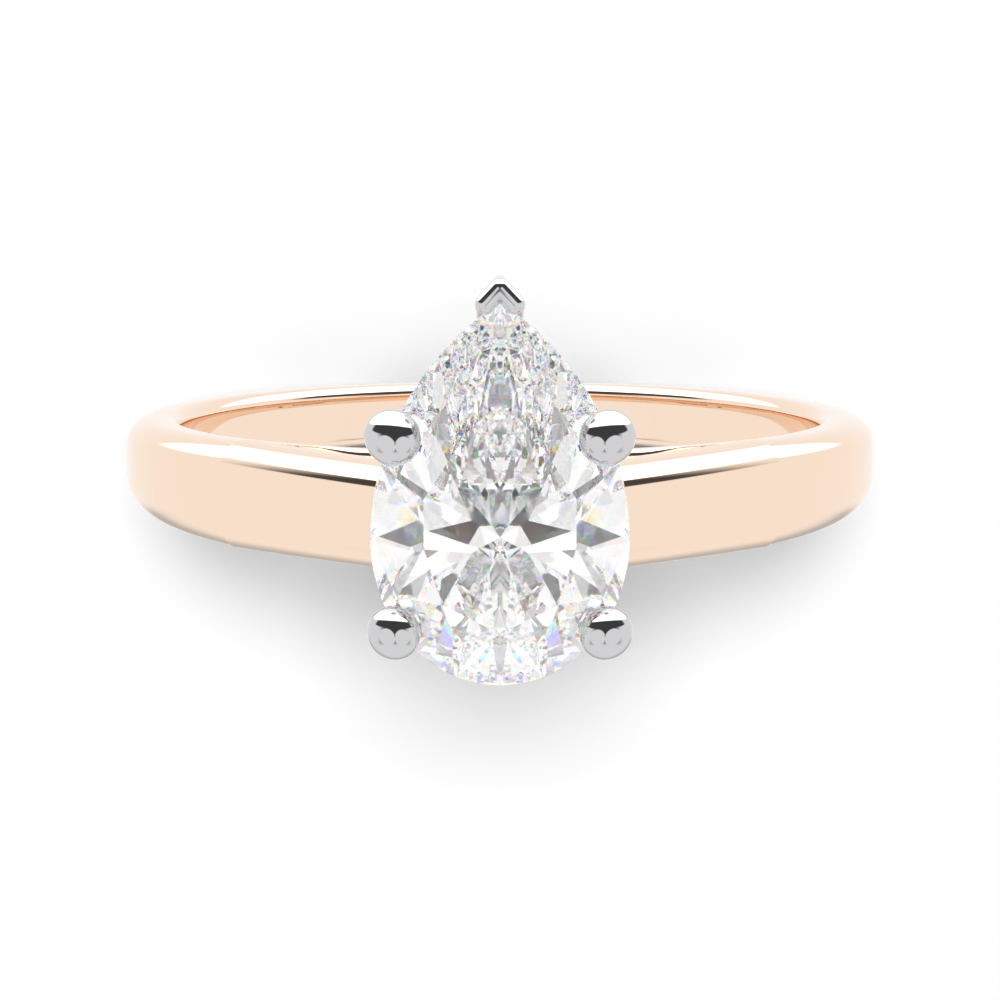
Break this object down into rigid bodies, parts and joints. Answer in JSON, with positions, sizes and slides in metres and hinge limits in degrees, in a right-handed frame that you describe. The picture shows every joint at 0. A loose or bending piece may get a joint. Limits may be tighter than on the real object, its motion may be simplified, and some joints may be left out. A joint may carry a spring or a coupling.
{
  "type": "engagement ring",
  "caption": "Solitaire ring: tapered rose-gold band with raised shoulders and an open white-gold head holding a pear-shaped diamond by round prongs and a point cap.",
  "frame": {"origin": "centre of the finger hole, on its axis", "axes": "+Y along the finger, the way the stone's point faces; +Z from the finger to the stone; +X to the right"},
  "size_m": [0.0204, 0.0094, 0.0235],
  "materials": {
    "rose_gold": "mirror polish, 18 carat rose gold",
    "white_gold": "mirror polish, rhodium-plated white gold",
    "diamond": "polished flat facets, colourless diamond"
  },
  "bodies": {
    "root": {"finger_band": "rose_gold", "left_shoulder": "rose_gold", "right_shoulder": "rose_gold", "base_rail": "white_gold", "gallery_rail": "white_gold", "front_left_prong": "white_gold", "front_right_prong": "white_gold", "back_left_prong": "white_gold", "back_right_prong": "white_gold", "point_prong": "white_gold", "diamond": "diamond"}
  },
  "joints": []
}
